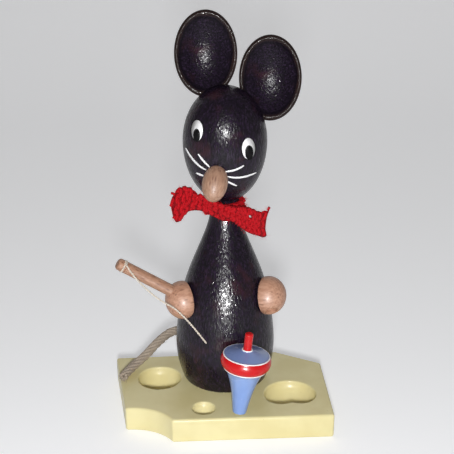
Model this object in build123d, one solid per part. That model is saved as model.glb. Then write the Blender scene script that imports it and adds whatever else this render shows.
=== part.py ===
"""Turned wooden mouse on a wedge of cheese, with a whip, a spinning top and a wool scarf.

Millimetres, +Z up, +Y away from the viewer. The origin is on the underside of the cheese,
below the axis of the mouse's body.
"""
from build123d import *
from math import cos, pi, radians, sin, sqrt, tan
import os

# The wedge of cheese
BOARD = 6.0
CHEESE_CORNERS = {
    "back_left": (-26.8, 9.65),
    "front_left": (-24.3, -14.6),
    "bite_end": (-13.65, -20.35),
    "front_right": (23.55, -21.1),
    "side_right": (24.2, 3.0),
    "back_right": (13.6, 9.65),
}
BITE_DEPTH = 1.8
CHEESE_EDGE_ROUND = 0.6
DIMPLES = {"left": ((-16.1, -1.25), 5.2), "small": ((-6.2, -15.7), 2.6)}  # centre, radius
BEAN_AT = (14.55, -11.35)
BEAN_LOBE_R = 3.9
BEAN_SPREAD = 2.25  # from the middle of the bean to the middle of each lobe
DIMPLE_RIM_ROUND = 0.35

# The body, a skittle with a round foot
FOOT_R = 9.9
FOOT_ROUND = 1.2
BELLY_R = 11.8
BELLY_Z = 15.4
BODY_SIDE = [(11.5, 20.2), (9.5, 31.1), (6.0, 40.4), (3.9, 46.2)]
NECK_R = 3.2
NECK_Z = 52.2

# The head, an egg with its blunt end up
HEAD_R = 9.5
HEAD_Z = 65.6
HEAD_UP = 12.6
HEAD_DOWN = 14.2
HEAD_SEAM = -30.0
SEAT_GAP = 0.05

# The ears, oval turned dishes
EAR_HALF_HEIGHT = 9.5
EAR_HALF_WIDTH = 7.0
EAR_LIP = 1.2
EAR_HOLLOW = 2.6
EAR_DEPTH = 4.8
EAR_EDGE = 0.6
EAR_AT = {"left": (-4.0, 3.3, 84.6), "right": (10.3, 2.2, 79.1)}
EAR_YAW = -5.0
EAR_PITCH = 10.0
EAR_PIN_R = 0.45
EAR_PIN_LENGTH = 6.0
EAR_PIN_AT = {"left": (2.6, -6.0, -1.9), "right": (-3.0, -5.2, -1.9)}  # in the ear's own plane
EAR_PIN_RUN = {"left": (0.30, -0.86, 0.40), "right": (-0.55, -0.72, 0.42)}

# The nose, an egg that points forwards and down
NOSE_R = 2.8
NOSE_HALF_LENGTH = 4.3
NOSE_AT = (-3.0, -10.3, 59.1)
NOSE_YAW = -17.0
NOSE_PITCH = -45.0
NOSE_DOWEL_R = 1.0
NOSE_DOWEL_LENGTH = 7.0

# The hands, turned knobs that stand on the body's side on a flat foot
HAND_R = 4.5
HAND_LENGTH = 4.1  # from the widest circle to the tip
HAND_FOOT = 1.2  # from the widest circle to the foot
HAND_EDGE = 0.2
HAND_AT = {"left": (-9.1, -3.3, 28.15), "right": (8.8, -4.3, 28.9)}  # middle of the foot
HAND_WAY = {"left": (-0.94, -0.342, 0.0), "right": (0.888, -0.433, 0.156)}
HAND_SEAM = {"left": 90.0, "right": 90.0}
HAND_DOWEL_R = 0.9
HAND_DOWEL_LENGTH = 6.5
HAND_DOWEL_IN = 2.4
HAND_DOWEL_RISE = {"left": -1.7, "right": 1.7}
HAND_HOLE_R = 1.4
HAND_HOLE_DEPTH = 2.2
HAND_HOLE_FACE = 4.05  # from the middle of the widest circle to the flat mouth of the hole
HAND_HOLE_YAW = 10.0
HAND_HOLE_PITCH = -37.0

# The whip
STICK_R = 1.4
STICK_TIP = (-25.0, -5.6, 38.9)
STICK_SEAT = (-10.7, -4.1, 29.45)
STICK_GROOVE_FROM_TIP = 1.9
STICK_GROOVE_DEPTH = 0.3
STRING_D = 0.45
STRING_ROUTE = [
    (-23.0, -6.9, 38.9),
    (-21.1, -7.5, 36.0),
    (-18.6, -8.0, 33.2),
    (-15.5, -8.6, 30.5),
    (-12.3, -9.2, 28.85),
    (-9.7, -9.8, 26.2),
    (-7.3, -10.6, 23.3),
    (-5.2, -11.1, 20.4),
]

# The tail
TAIL_D = 2.3
TAIL_ROUTE = [
    (-0.6, 8.6, 9.6),
    (-3.6, 12.6, 9.9),
    (-8.1, 14.3, 10.6),
    (-12.5, 13.2, 11.3),
    (-16.2, 9.2, 10.4),
    (-19.6, 5.4, 8.4),
    (-23.2, 1.7, 7.3),
    (-24.9, -2.1, 7.2),
]

# The scarf, a knitted strip wound once round the neck, with two flared ends
SCARF_WRAP_R = (3.25, 5.1)
SCARF_WRAP_Z = (47.1, 51.7)
SCARF_THICKNESS = 2.0
SCARF_ROUND = 0.6
SCARF_LEFT = [  # place of the middle, height
    ((-2.2, -4.4, 50.2), 3.6),
    ((-4.6, -4.9, 51.6), 3.2),
    ((-6.6, -4.3, 52.6), 4.1),
    ((-8.4, -3.7, 53.0), 5.8),
    ((-10.0, -3.2, 52.4), 7.2),
    ((-11.3, -2.8, 51.0), 6.6),
    ((-12.4, -2.5, 51.3), 2.6),
]
SCARF_RIGHT = [
    ((-1.5, -4.5, 49.7), 4.0),
    ((0.3, -5.0, 49.5), 4.2),
    ((2.2, -5.2, 49.2), 4.8),
    ((4.4, -4.9, 48.4), 6.0),
    ((6.4, -4.6, 47.6), 5.8),
    ((8.0, -4.3, 46.9), 6.0),
    ((9.2, -4.2, 47.0), 7.0),
    ((10.0, -4.1, 48.0), 4.0),
]

# The spinning top
TOP_FOOT = (1.8, -18.3, BOARD)
TOP_CROWN = (4.05, -17.5, 25.7)
TOP_FOOT_R = 1.6
TOP_LEG = [(2.2, 3.0), (2.95, 6.5), (4.5, 11.1)]
TOP_BAND = [(4.9, 11.3), (5.8, 12.9), (5.3, 14.6)]
TOP_FACE_Z = 15.8
TOP_STEM_R = 0.95
TOP_STEM_SUNK = 3.0
TOP_LIFT = 0.3
TOP_PIN_R = 0.75
TOP_PIN_UP = 5.0
TOP_PIN_DOWN = 4.0
RUNNING_GAP = 0.05

# Dowels on the axis of the body
BODY_DOWEL_R = 3.0
BODY_DOWEL_Z = (2.0, 14.0)
NECK_DOWEL_R = 2.0
NECK_DOWEL_Z = (42.0, 62.0)

QUARTER_PULL = 0.5523  # reach of the handles that make a quarter of an oval
ARC_SHARE = 0.45  # of a cord's shorter run, taken by an arc

nodes = {}


def turned(*outline):
    """Solid of revolution about Z from outline pieces given as radius and height."""
    return revolve(make_face(Plane.YZ * (Curve() + list(outline))), Axis.Z)


def facing(yaw, pitch):
    """Direction that looks at the viewer, turned to +X by yaw and raised by pitch."""
    level = cos(radians(pitch))
    return Vector(sin(radians(yaw)) * level, -cos(radians(yaw)) * level, sin(radians(pitch)))


def upright(place, direction):
    """Plane at a place, looking along a direction, with its own Y as near to up as it can be."""
    return Plane(origin=place, x_dir=Vector(0, 0, 1).cross(direction), z_dir=direction)


def rod(start, direction, length, radius):
    """Round rod from a point along a direction."""
    rod_plane = Plane(origin=start, z_dir=direction)
    return rod_plane * Cylinder(radius, length, align=(Align.CENTER, Align.CENTER, Align.MIN))


def egg(radius, up, down):
    """Egg turned about Z, with its widest circle at the origin."""
    pull = QUARTER_PULL * radius
    lower = Bezier((0, -down), (pull, -down), (radius, -QUARTER_PULL * down), (radius, 0))
    upper = Bezier((radius, 0), (radius, QUARTER_PULL * up), (pull, up), (0, up))
    return turned(lower, upper, Line((0, up), (0, -down)))


def cord(name, route, diameter):
    """Round cord along straight runs joined by the largest tangent arcs that fit."""
    points = [Vector(*point) for point in route]
    radii = []
    for before, corner, after in zip(points, points[1:], points[2:]):
        run_in = corner - before
        run_out = after - corner
        half_turn = radians(run_in.get_angle(run_out)) / 2
        radii.append(ARC_SHARE * min(run_in.length, run_out.length) / tan(half_turn))
    path = FilletPolyline(*points, radius=radii)
    tube = sweep(Plane(origin=path @ 0, z_dir=path % 0) * Circle(diameter / 2), path=path)
    section = pi * diameter ** 2 / 4
    print(name, "length", round(path.length, 2), "radii", [round(radius, 1) for radius in radii])
    print(name, "volume", round(tube.volume, 2), "of", round(section * path.length, 2))
    return tube


def bean():
    """Path of a ball cutter that sinks to its middle and goes round half a circle to a second lobe."""
    waist = sqrt(BEAN_LOBE_R ** 2 - BEAN_SPREAD ** 2)
    round_way = turned(
        Line((0, waist), (0, -waist)),
        ThreePointArc((0, -waist), (BEAN_SPREAD + BEAN_LOBE_R, 0), (0, waist)),
    )
    lobes = Pos(-BEAN_SPREAD, 0) * Sphere(BEAN_LOBE_R) + Pos(BEAN_SPREAD, 0) * Sphere(BEAN_LOBE_R)
    reach = 4 * BEAN_LOBE_R
    behind = Box(reach, reach, reach, align=(Align.CENTER, Align.MIN, Align.CENTER))
    before = Box(reach, reach, reach, align=(Align.CENTER, Align.MAX, Align.CENTER))
    return (round_way & behind) + (lobes & before)


def cheese():
    """Board cut as a wedge of cheese, with a bite out of its edge and round hollows."""
    corner = CHEESE_CORNERS
    bite_start, bite_end = Vector(*corner["front_left"]), Vector(*corner["bite_end"])
    bite_across = (bite_end - bite_start).normalized()
    bite_middle = (bite_start + bite_end) / 2 + Vector(-bite_across.Y, bite_across.X) * BITE_DEPTH
    straight_sides = ("bite_end", "front_right", "side_right", "back_right", "back_left")
    outline = Curve() + [
        Line(corner["back_left"], corner["front_left"]),
        ThreePointArc(bite_start, bite_middle, bite_end),
        Polyline(*[corner[name] for name in straight_sides]),
    ]
    board = extrude(make_face(outline), BOARD)
    board = fillet(board.edges(), CHEESE_EDGE_ROUND)
    for (x, y), radius in DIMPLES.values():
        board -= Pos(x, y, BOARD) * Sphere(radius)
    board -= Pos(*BEAN_AT, BOARD) * bean()
    top_face = board.faces().filter_by(Axis.Z).sort_by(Axis.Z)[-1]
    return fillet(top_face.inner_wires().edges(), DIMPLE_RIM_ROUND)


def body_form():
    """Skittle shape of the body, before it is drilled."""
    widest = (BELLY_R, BELLY_Z)
    side = [widest, *BODY_SIDE, (NECK_R, NECK_Z)]
    skittle = turned(
        Line((0, NECK_Z), (0, BOARD)),
        Line((0, BOARD), (FOOT_R, BOARD)),
        TangentArc(widest, (FOOT_R, BOARD), tangent=(0, -1)),
        Spline(*side, tangents=[(0, 1), (-0.05, 1)]),
        Line((NECK_R, NECK_Z), (0, NECK_Z)),
    )
    foot_edge = skittle.edges().filter_by(GeomType.CIRCLE).sort_by(Axis.Z)[0]
    return fillet(foot_edge, FOOT_ROUND)


def head_form():
    """Egg shape of the head, with a flat seat that turns on the neck."""
    below_seat = Pos(0, 0, NECK_Z + SEAT_GAP) * Box(
        2 * HEAD_R, 2 * HEAD_R, HEAD_DOWN, align=(Align.CENTER, Align.CENTER, Align.MAX))
    return Rot(0, 0, HEAD_SEAM) * (Pos(0, 0, HEAD_Z) * egg(HEAD_R, HEAD_UP, HEAD_DOWN) - below_seat)


def ear_form():
    """Oval dish facing +Z, hollow in front and round behind."""
    rim_r = EAR_HALF_HEIGHT
    hollow_r = rim_r - EAR_LIP
    dish = turned(
        Line((0, -EAR_DEPTH), (0, -EAR_HOLLOW)),
        TangentArc((0, -EAR_HOLLOW), (hollow_r, 0), tangent=(1, 0)),
        ThreePointArc((hollow_r, 0), (rim_r - EAR_LIP / 3, 0.1), (rim_r, -EAR_EDGE)),
        TangentArc((0, -EAR_DEPTH), (rim_r, -EAR_EDGE), tangent=(1, 0)),
    )
    return scale(dish, by=(EAR_HALF_WIDTH / EAR_HALF_HEIGHT, 1, 1))


def scarf_end(stations):
    """Flared strip of knitting through upright oblong sections."""
    places = [Vector(*place) for place, _ in stations]
    sections = []
    for index, (_, height) in enumerate(stations):
        along = places[min(index + 1, len(places) - 1)] - places[max(index - 1, 0)]
        section_plane = Plane(origin=places[index], x_dir=(0, 0, 1), z_dir=Vector(along.X, along.Y, 0))
        sections.append(section_plane * RectangleRounded(height, SCARF_THICKNESS, SCARF_ROUND))
    return loft(sections)


def scarf(neck):
    """Whole scarf: the wrap round the neck and its two ends, fused."""
    inner, outer = SCARF_WRAP_R
    low, high = SCARF_WRAP_Z
    section = RectangleRounded(outer - inner, high - low, SCARF_ROUND)
    wrap = revolve(Plane.YZ * (Pos((inner + outer) / 2, (low + high) / 2) * section), Axis.Z)
    return wrap + scarf_end(SCARF_LEFT) + scarf_end(SCARF_RIGHT) - neck


def hand_form():
    """Knob turned about Z, with its flat foot at the origin and its tip up."""
    below_foot = Box(4 * HAND_R, 4 * HAND_R, 2 * HAND_LENGTH, align=(Align.CENTER, Align.CENTER, Align.MAX))
    knob = Pos(0, 0, HAND_FOOT) * egg(HAND_R, HAND_LENGTH, HAND_LENGTH) - below_foot
    return chamfer(knob.edges().group_by(Axis.Z)[0], HAND_EDGE)


def hand_pieces(side, body):
    """Hand fitted to the body's side, and the dowel that holds it."""
    foot = Vector(*HAND_AT[side])
    outward = Vector(*HAND_WAY[side]).normalized()
    dowel_start = foot + outward * HAND_DOWEL_IN + Vector(0, 0, HAND_DOWEL_RISE[side])
    dowel = rod(dowel_start, -outward, HAND_DOWEL_LENGTH, HAND_DOWEL_R)
    knob = upright(foot, outward) * Rot(0, 0, HAND_SEAM[side]) * hand_form()
    return knob - body - dowel, dowel


def hand_hole():
    """What is cut from the right hand: a drilled hole, and a flat spot round its mouth."""
    outward = Vector(*HAND_WAY["right"]).normalized()
    middle = Vector(*HAND_AT["right"]) + outward * HAND_FOOT
    axis = facing(HAND_HOLE_YAW, HAND_HOLE_PITCH)
    furthest = axis * HAND_R ** 2 + outward * ((HAND_LENGTH ** 2 - HAND_R ** 2) * outward.dot(axis))
    mouth_at = middle + furthest * (HAND_HOLE_FACE / furthest.dot(axis))
    print("hand hole mouth", mouth_at, "axis", axis)
    hole = rod(mouth_at, -axis, HAND_HOLE_DEPTH, HAND_HOLE_R)
    return hole + rod(mouth_at, axis, HAND_R, 2 * HAND_R)


def top_pieces():
    """Body and stem of the spinning top, standing on its own axis, and the pin below it."""
    foot = Vector(*TOP_FOOT)
    lean = (Vector(*TOP_CROWN) - foot).normalized()
    height = (Vector(*TOP_CROWN) - foot).length
    stand = Plane(origin=foot, z_dir=lean)
    stem_low = TOP_FACE_Z - TOP_STEM_SUNK
    stem_form = rod((0, 0, stem_low), (0, 0, 1), height - stem_low, TOP_STEM_R)
    stem_form = fillet(stem_form.edges().sort_by(Axis.Z)[-1], TOP_STEM_R / 3)
    leg_top = TOP_LEG[-1]
    form = turned(
        Line((0, TOP_FACE_Z), (0, 0)),
        Line((0, 0), (TOP_FOOT_R, 0)),
        Spline((TOP_FOOT_R, 0), *TOP_LEG),
        Line(leg_top, TOP_BAND[0]),
        ThreePointArc(*TOP_BAND),
        Line(TOP_BAND[-1], (TOP_STEM_R, TOP_FACE_Z)),
        Line((TOP_STEM_R, TOP_FACE_Z), (0, TOP_FACE_Z)),
    )
    pin_hole = rod((0, 0, -1), (0, 0, 1), 1 + TOP_PIN_UP + RUNNING_GAP, TOP_PIN_R + RUNNING_GAP)
    lifted = Pos(0, 0, TOP_LIFT)
    pin_form = rod((0, 0, -TOP_PIN_DOWN), (0, 0, 1), TOP_PIN_DOWN + TOP_PIN_UP, TOP_PIN_R)
    return stand * (lifted * (form - stem_form - pin_hole)), stand * (lifted * stem_form), stand * pin_form


def build():
    """Every piece of the mouse, drilled and fitted to its neighbours."""
    body = body_form()
    head = head_form()
    neck_low, neck_high = NECK_DOWEL_Z
    body_low, body_high = BODY_DOWEL_Z
    nodes["neck_dowel"] = rod((0, 0, neck_low), (0, 0, 1), neck_high - neck_low, NECK_DOWEL_R)
    nodes["body_dowel"] = rod((0, 0, body_low), (0, 0, 1), body_high - body_low, BODY_DOWEL_R)

    nodes["scarf"] = scarf(body)

    for side in ("left", "right"):
        nodes[f"hand_{side}"], nodes[f"hand_dowel_{side}"] = hand_pieces(side, body)
    stick_axis = (Vector(*STICK_SEAT) - Vector(*STICK_TIP)).normalized()
    stick_length = (Vector(*STICK_SEAT) - Vector(*STICK_TIP)).length
    stick = rod(STICK_TIP, stick_axis, stick_length, STICK_R)
    nodes["hand_left"] -= stick
    groove_at = Vector(*STICK_TIP) + stick_axis * STICK_GROOVE_FROM_TIP
    groove_r = STICK_R - STICK_GROOVE_DEPTH + STRING_D / 2
    hitch = Plane(origin=groove_at, z_dir=stick_axis) * Torus(groove_r, STRING_D / 2)
    tip_edge = stick.edges().filter_by(GeomType.CIRCLE).sort_by_distance(Vector(*STICK_TIP))[0]
    nodes["whip_handle"] = fillet(tip_edge, STICK_R / 2) - hitch
    nodes["whip_hitch"] = hitch
    nodes["whip_string"] = cord("whip_string", STRING_ROUTE, STRING_D)

    nodes["hand_right"] -= hand_hole()

    nodes["tail_cord"] = cord("tail_cord", TAIL_ROUTE, TAIL_D)
    for name in ("neck_dowel", "body_dowel", "hand_dowel_left", "hand_dowel_right", "tail_cord"):
        body -= nodes[name]
    nodes["body"] = body

    nose_axis = facing(NOSE_YAW, NOSE_PITCH)
    nose = upright(NOSE_AT, nose_axis) * egg(NOSE_R, NOSE_HALF_LENGTH, NOSE_HALF_LENGTH)
    nodes["nose_dowel"] = rod(NOSE_AT, -nose_axis, NOSE_DOWEL_LENGTH, NOSE_DOWEL_R)
    nodes["nose"] = nose - head - nodes["nose_dowel"]
    for side in ("left", "right"):
        ear_plane = upright(EAR_AT[side], facing(EAR_YAW, EAR_PITCH))
        ear = ear_plane * ear_form() - head_form()
        pin = ear_plane * rod(EAR_PIN_AT[side], EAR_PIN_RUN[side], EAR_PIN_LENGTH, EAR_PIN_R)
        nodes[f"ear_pin_{side}"] = pin
        nodes[f"ear_{side}"] = ear - pin
        head -= pin
    head -= nodes["nose_dowel"]
    head -= rod((0, 0, neck_low), (0, 0, 1), neck_high + RUNNING_GAP - neck_low, NECK_DOWEL_R + RUNNING_GAP)
    nodes["head"] = head

    nodes["top_body"], nodes["top_stem"], nodes["top_pin"] = top_pieces()
    nodes["cheese_base"] = cheese() - nodes["body_dowel"] - nodes["top_pin"]


build()
os.makedirs("parts", exist_ok=True)
for name, shape in nodes.items():
    export_step(shape, f"parts/{name}.step")
    print(name, "solids", len(shape.solids()), "volume", round(shape.volume, 2))
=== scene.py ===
# %% [markdown]
# # A wooden mouse on a wedge of cheese
# This lesson dresses a small turned figure: a black-stained mouse with beech hands and a beech nose,
# a red wool scarf, a hemp tail, a little whip and a painted spinning top, on a yellow board.
# The turned solids come ready from a CAD model at their real size, so the work here is what CAD leaves
# plain: finishes, painted eyes and whiskers, twisted cords, and yarn.

# %% Load the solids
import bisect
import math
import random
import bmesh
import bpy
from mathutils import Matrix, Vector
from mathutils.bvhtree import BVHTree


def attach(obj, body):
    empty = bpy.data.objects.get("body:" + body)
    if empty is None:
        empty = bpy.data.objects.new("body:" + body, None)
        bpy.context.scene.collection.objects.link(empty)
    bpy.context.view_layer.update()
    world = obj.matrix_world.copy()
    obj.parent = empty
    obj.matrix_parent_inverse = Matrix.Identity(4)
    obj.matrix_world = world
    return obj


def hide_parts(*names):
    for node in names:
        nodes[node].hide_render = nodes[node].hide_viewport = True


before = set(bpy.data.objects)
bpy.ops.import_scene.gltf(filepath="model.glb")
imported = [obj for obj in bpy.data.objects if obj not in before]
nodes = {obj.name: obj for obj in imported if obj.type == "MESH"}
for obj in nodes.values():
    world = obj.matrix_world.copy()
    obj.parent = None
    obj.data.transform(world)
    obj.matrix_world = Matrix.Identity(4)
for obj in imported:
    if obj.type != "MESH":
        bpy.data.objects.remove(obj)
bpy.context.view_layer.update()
scene = bpy.context.scene
MM = 0.001

# %% [markdown]
# ## Camera
# The figure is seen a little from above and from its right. One could fly the camera by eye, but a
# photograph's lens is known once a few sizes on the object are, so the place is written as two angles and a
# distance. The same numbers later say which point of the head a painted stroke covers.

# %% Camera at the photograph's angle
PHOTO_PX = 454
FOCAL_PX = 1000
SENSOR_MM = 36
VIEW_AZIMUTH = -4.6
VIEW_ELEVATION = 22
VIEW_DISTANCE = 232 * MM
VIEW_TARGET = Vector((0.46, -0.04, 44.68)) * MM
NEAREST_SEEN = 0.01


def way_out(azimuth, elevation):
    """Direction away from the figure: degrees round it from the front, and degrees above the floor."""
    turn = math.radians(azimuth)
    rise = math.radians(elevation)
    level = math.cos(rise)
    return Vector((math.sin(turn) * level, -math.cos(turn) * level, math.sin(rise)))


to_viewer = way_out(VIEW_AZIMUTH, VIEW_ELEVATION)
view_turn = (-to_viewer).to_track_quat("-Z", "Y")
camera_at = VIEW_TARGET + to_viewer * VIEW_DISTANCE
camera = bpy.data.objects.new("camera", bpy.data.cameras.new("camera"))
camera.data.sensor_width = SENSOR_MM
camera.data.lens = SENSOR_MM * FOCAL_PX / PHOTO_PX
camera.data.clip_start = NEAREST_SEEN
camera.location = camera_at
camera.rotation_euler = view_turn.to_euler()
scene.collection.objects.link(camera)
scene.camera = camera


def sight_line(px, py):
    """Direction from the camera through a pixel of the photograph."""
    across = (px - PHOTO_PX / 2) / FOCAL_PX
    up = (PHOTO_PX / 2 - py) / FOCAL_PX
    return (view_turn @ Vector((across, up, -1))).normalized()


print("camera", [round(x, 4) for x in camera_at], "lens", round(camera.data.lens, 1), "mm")

# %% [markdown]
# ## Shader helpers
# Every finish below is a small tree of shader nodes. Written out link by link such a tree is long and hard to
# read, so one helper puts a node down with its options and inputs, and a few more name the jobs that come
# back: a mask with a soft edge, a blend of two colours, a bump, spots that are scattered over a surface.

# %% Helpers for shader trees
def new_material(name):
    """A material with its Principled shader, and the tree that holds it."""
    material = bpy.data.materials.new(name)
    material.use_nodes = True
    return material, material.node_tree, material.node_tree.nodes["Principled BSDF"]


def feed(tree, node, inputs):
    """Gives a node its inputs. Each is a value, or another node's output to link."""
    for key, value in inputs.items():
        if isinstance(value, bpy.types.NodeSocket):
            tree.links.new(value, node.inputs[key])
        else:
            node.inputs[key].default_value = value


def put(tree, kind, inputs=None, **options):
    """One shader node, with its options and inputs."""
    made = tree.nodes.new(f"ShaderNode{kind}")
    for name, value in options.items():
        setattr(made, name, value)
    feed(tree, made, inputs or {})
    return made


def blend(tree, share, first, second):
    """Colour between two others."""
    return put(tree, "Mix", {0: share, 6: first, 7: second}, data_type="RGBA").outputs[2]


def mask(tree, value, low, high):
    """0 below one value, 1 above another, and a soft step between them."""
    inputs = {"Value": value, "From Min": low, "From Max": high}
    return put(tree, "MapRange", inputs, interpolation_type="SMOOTHSTEP").outputs[0]


def reach(tree, value, low, high):
    """A value from 0 to 1, stretched to run from low to high."""
    return put(tree, "MapRange", {"Value": value, "To Min": low, "To Max": high}).outputs[0]


def math_node(tree, operation, first, second=0.0):
    """One sum of two values."""
    return put(tree, "Math", {0: first, 1: second}, operation=operation).outputs[0]


def times(tree, first, second):
    """Product of two values."""
    return math_node(tree, "MULTIPLY", first, second)


def vector_math(tree, operation, first, second):
    """One sum of two vectors."""
    return put(tree, "VectorMath", {0: first, 1: second}, operation=operation).outputs[0]


def scaled(tree, vector, scale):
    """A vector made longer or shorter."""
    return put(tree, "VectorMath", {0: vector, "Scale": scale}, operation="SCALE").outputs[0]


def noise(tree, vector, scale, detail, roughness=0.5):
    """Soft noise from 0 to 1."""
    inputs = {"Vector": vector, "Scale": scale, "Detail": detail, "Roughness": roughness}
    return put(tree, "TexNoise", inputs).outputs[0]


def spots(tree, vector, scale, share, core, edge):
    """Round spots in some share of a Voronoi pattern's cells, full to the core and gone at the edge."""
    cells = put(tree, "TexVoronoi", {"Vector": vector, "Scale": scale}).outputs
    lot = put(tree, "SeparateColor", {0: cells["Color"]}).outputs[0]
    spot = math_node(tree, "SUBTRACT", 1.0, mask(tree, cells["Distance"], core, edge))
    return times(tree, spot, math_node(tree, "LESS_THAN", lot, share))


def bump(tree, height, strength, distance):
    """Normal that a height makes, with the height's own size in metres."""
    return put(tree, "Bump", {"Height": height, "Strength": strength, "Distance": distance}).outputs[0]


def object_vector(tree, at=(0, 0, 0), turn=(0, 0, 0), scale=(1, 1, 1)):
    """Object coordinates, measured from a place on the piece and along its own turned axes."""
    coordinates = put(tree, "TexCoord").outputs["Object"]
    inputs = {"Vector": coordinates, "Location": at, "Rotation": turn, "Scale": scale}
    return put(tree, "Mapping", inputs, vector_type="TEXTURE").outputs[0]


def opaque(tones):
    """Colours with full alpha."""
    return [(*tone, 1) for tone in tones]


# %% [markdown]
# ## Paper
# A seamless paper sweep is floor and backdrop in one, so no horizon line shows. It could be modelled face by
# face, but a sheet is bent from one edge: drawn back along the floor, spun up a quarter turn and drawn up.
# The paper glows a little, but only where it is looked at, so it looks pale and adds no light to the figure.

# %% Paper sweep
SWEEP_WIDTH = 1.6
SWEEP_FRONT = -0.7
SWEEP_BEND_AT = 0.25
SWEEP_BEND_R = 0.3
SWEEP_BEND_STEPS = 24
SWEEP_TOP = 0.9
PAPER = (0.80, 0.81, 0.83, 1)
PAPER_GLOW = 0.45


def mesh_object(name, mesh_data, materials):
    """A bmesh made into a linked, smooth object with its materials, and its faces turned outwards."""
    bmesh.ops.recalc_face_normals(mesh_data, faces=mesh_data.faces)
    mesh = bpy.data.meshes.new(name)
    mesh_data.to_mesh(mesh)
    mesh_data.free()
    for material in materials:
        mesh.materials.append(material)
    for polygon in mesh.polygons:
        polygon.use_smooth = True
    made = bpy.data.objects.new(name, mesh)
    scene.collection.objects.link(made)
    return made


def only(kind, items):
    """The vertices or the edges of what an operator made."""
    return [item for item in items if isinstance(item, kind)]


def paper_sweep():
    """Floor and backdrop in one sheet: a front edge, drawn back, bent and drawn up."""
    mesh = bmesh.new()
    ends = [mesh.verts.new((side * SWEEP_WIDTH / 2, SWEEP_FRONT, 0)) for side in (-1, 1)]
    floor = bmesh.ops.extrude_edge_only(mesh, edges=[mesh.edges.new(ends)])["geom"]
    moved = only(bmesh.types.BMVert, floor)
    bmesh.ops.translate(mesh, verts=moved, vec=(0, SWEEP_BEND_AT - SWEEP_FRONT, 0))
    back = only(bmesh.types.BMEdge, floor) + moved
    bend = bmesh.ops.spin(mesh, geom=back, cent=(0, SWEEP_BEND_AT, SWEEP_BEND_R), axis=(1, 0, 0),
                          angle=math.pi / 2, steps=SWEEP_BEND_STEPS)["geom_last"]
    wall = bmesh.ops.extrude_edge_only(mesh, edges=only(bmesh.types.BMEdge, bend))["geom"]
    bmesh.ops.translate(mesh, verts=only(bmesh.types.BMVert, wall), vec=(0, 0, SWEEP_TOP))
    return mesh


paper, paper_tree, paper_shader = new_material("paper")
rays = put(paper_tree, "LightPath").outputs
glow = 0.0
for ray in ("Is Camera Ray", "Is Glossy Ray", "Is Transmission Ray"):
    inputs = {0: rays[ray], 1: PAPER_GLOW, 2: glow}
    glow = put(paper_tree, "Math", inputs, operation="MULTIPLY_ADD").outputs[0]
finish = {"Base Color": PAPER, "Roughness": 0.9, "Emission Color": PAPER, "Emission Strength": glow}
feed(paper_tree, paper_shader, finish)
sweep = mesh_object("paper_sweep", paper_sweep(), [paper])
print("stage:", sweep.name, len(sweep.data.polygons), "faces")

# %% [markdown]
# ## Light
# The photograph was lit by a flash close to the lens: its hollows are bright to the bottom and its highlights
# are small and hard. One lamp could do both, but then the shapes alone fix every highlight's place. So the
# flash gives the light and the shadows and isn't seen in the gloss, and two small spots beside it show only
# in the gloss, one on the head and one on the belly. Three soft boxes and a dim room fill the rest.

# %% Lamps and room
FLASH_AWAY = 0.26
FLASH_WATTS = 0.60
FLASH_ELEVATION = 17.4
FLASH_SIZE = 0.02
GLINT_R = 9 * MM
GLINT_CONE = 12
GLINT_BLEND = 0.25
GLINTS = {"head_glint": (4.6, 14, (3, -5, 76)), "body_glint": (6.0, 6, (0, -10, 29))}
BOX_AWAY = 0.50
BOX_SIZE = 0.40
BOXES = {"left_box": (0.08, -70, 12), "right_box": (0.08, 75, 12), "back_box": (0.16, 172, 20)}


def lamp(name, kind, watts, away, azimuth, elevation, aim):
    """A lamp that looks at a point from an angle round it."""
    made = bpy.data.objects.new(name, bpy.data.lights.new(name, kind))
    made.data.energy = watts
    way = way_out(azimuth, elevation)
    made.location = aim + way * away
    made.rotation_euler = (-way).to_track_quat("-Z", "Y").to_euler()
    scene.collection.objects.link(made)
    return made


flash = lamp("flash", "AREA", FLASH_WATTS, FLASH_AWAY, VIEW_AZIMUTH, FLASH_ELEVATION, VIEW_TARGET)
flash.data.size = FLASH_SIZE
flash.visible_glossy = False
for name, (watts, elevation, aim) in GLINTS.items():
    glint = lamp(name, "SPOT", watts, FLASH_AWAY, VIEW_AZIMUTH, elevation, Vector(aim) * MM)
    glint.data.shadow_soft_size = GLINT_R
    glint.data.spot_size = math.radians(GLINT_CONE)
    glint.data.spot_blend = GLINT_BLEND
    glint.visible_diffuse = False
for name, (watts, azimuth, elevation) in BOXES.items():
    lamp(name, "AREA", watts, BOX_AWAY, azimuth, elevation, VIEW_TARGET).data.size = BOX_SIZE
room = bpy.data.worlds.new("room")
scene.world = room
room.use_nodes = True
room_light = room.node_tree.nodes["Background"]
feed(room.node_tree, room_light, {"Color": (1.0, 0.94, 0.88, 1), "Strength": 0.14})
scene.view_settings.view_transform = "Standard"
print("lamps:", [light.name for light in bpy.data.lights])

# %% [markdown]
# ## Routes of the cords
# The tail is a piece of hemp cord and the whip has a thin string. A cord's line could be drawn through its
# points, but that kinks at each one. A NURBS spline is pulled towards its control points instead and bends
# smoothly past them, so the routes are given to one, and evenly spaced points are read back from it.

# %% Smooth lines from routes
TAIL_D = 2.3 * MM
TAIL_STEP = 0.25 * MM
TAIL_ROUTE = [
    (-0.6, 8.6, 9.6),
    (-3.6, 12.6, 9.9),
    (-8.1, 14.3, 10.6),
    (-12.5, 13.2, 11.3),
    (-16.2, 9.2, 10.4),
    (-19.6, 5.4, 8.4),
    (-23.2, 1.7, 7.3),
    (-24.9, -2.1, 7.2),
]
SPLINE_STEPS = 24


def in_metres(points):
    """Points that are written in millimetres."""
    return [Vector(point) * MM for point in points]


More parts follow.
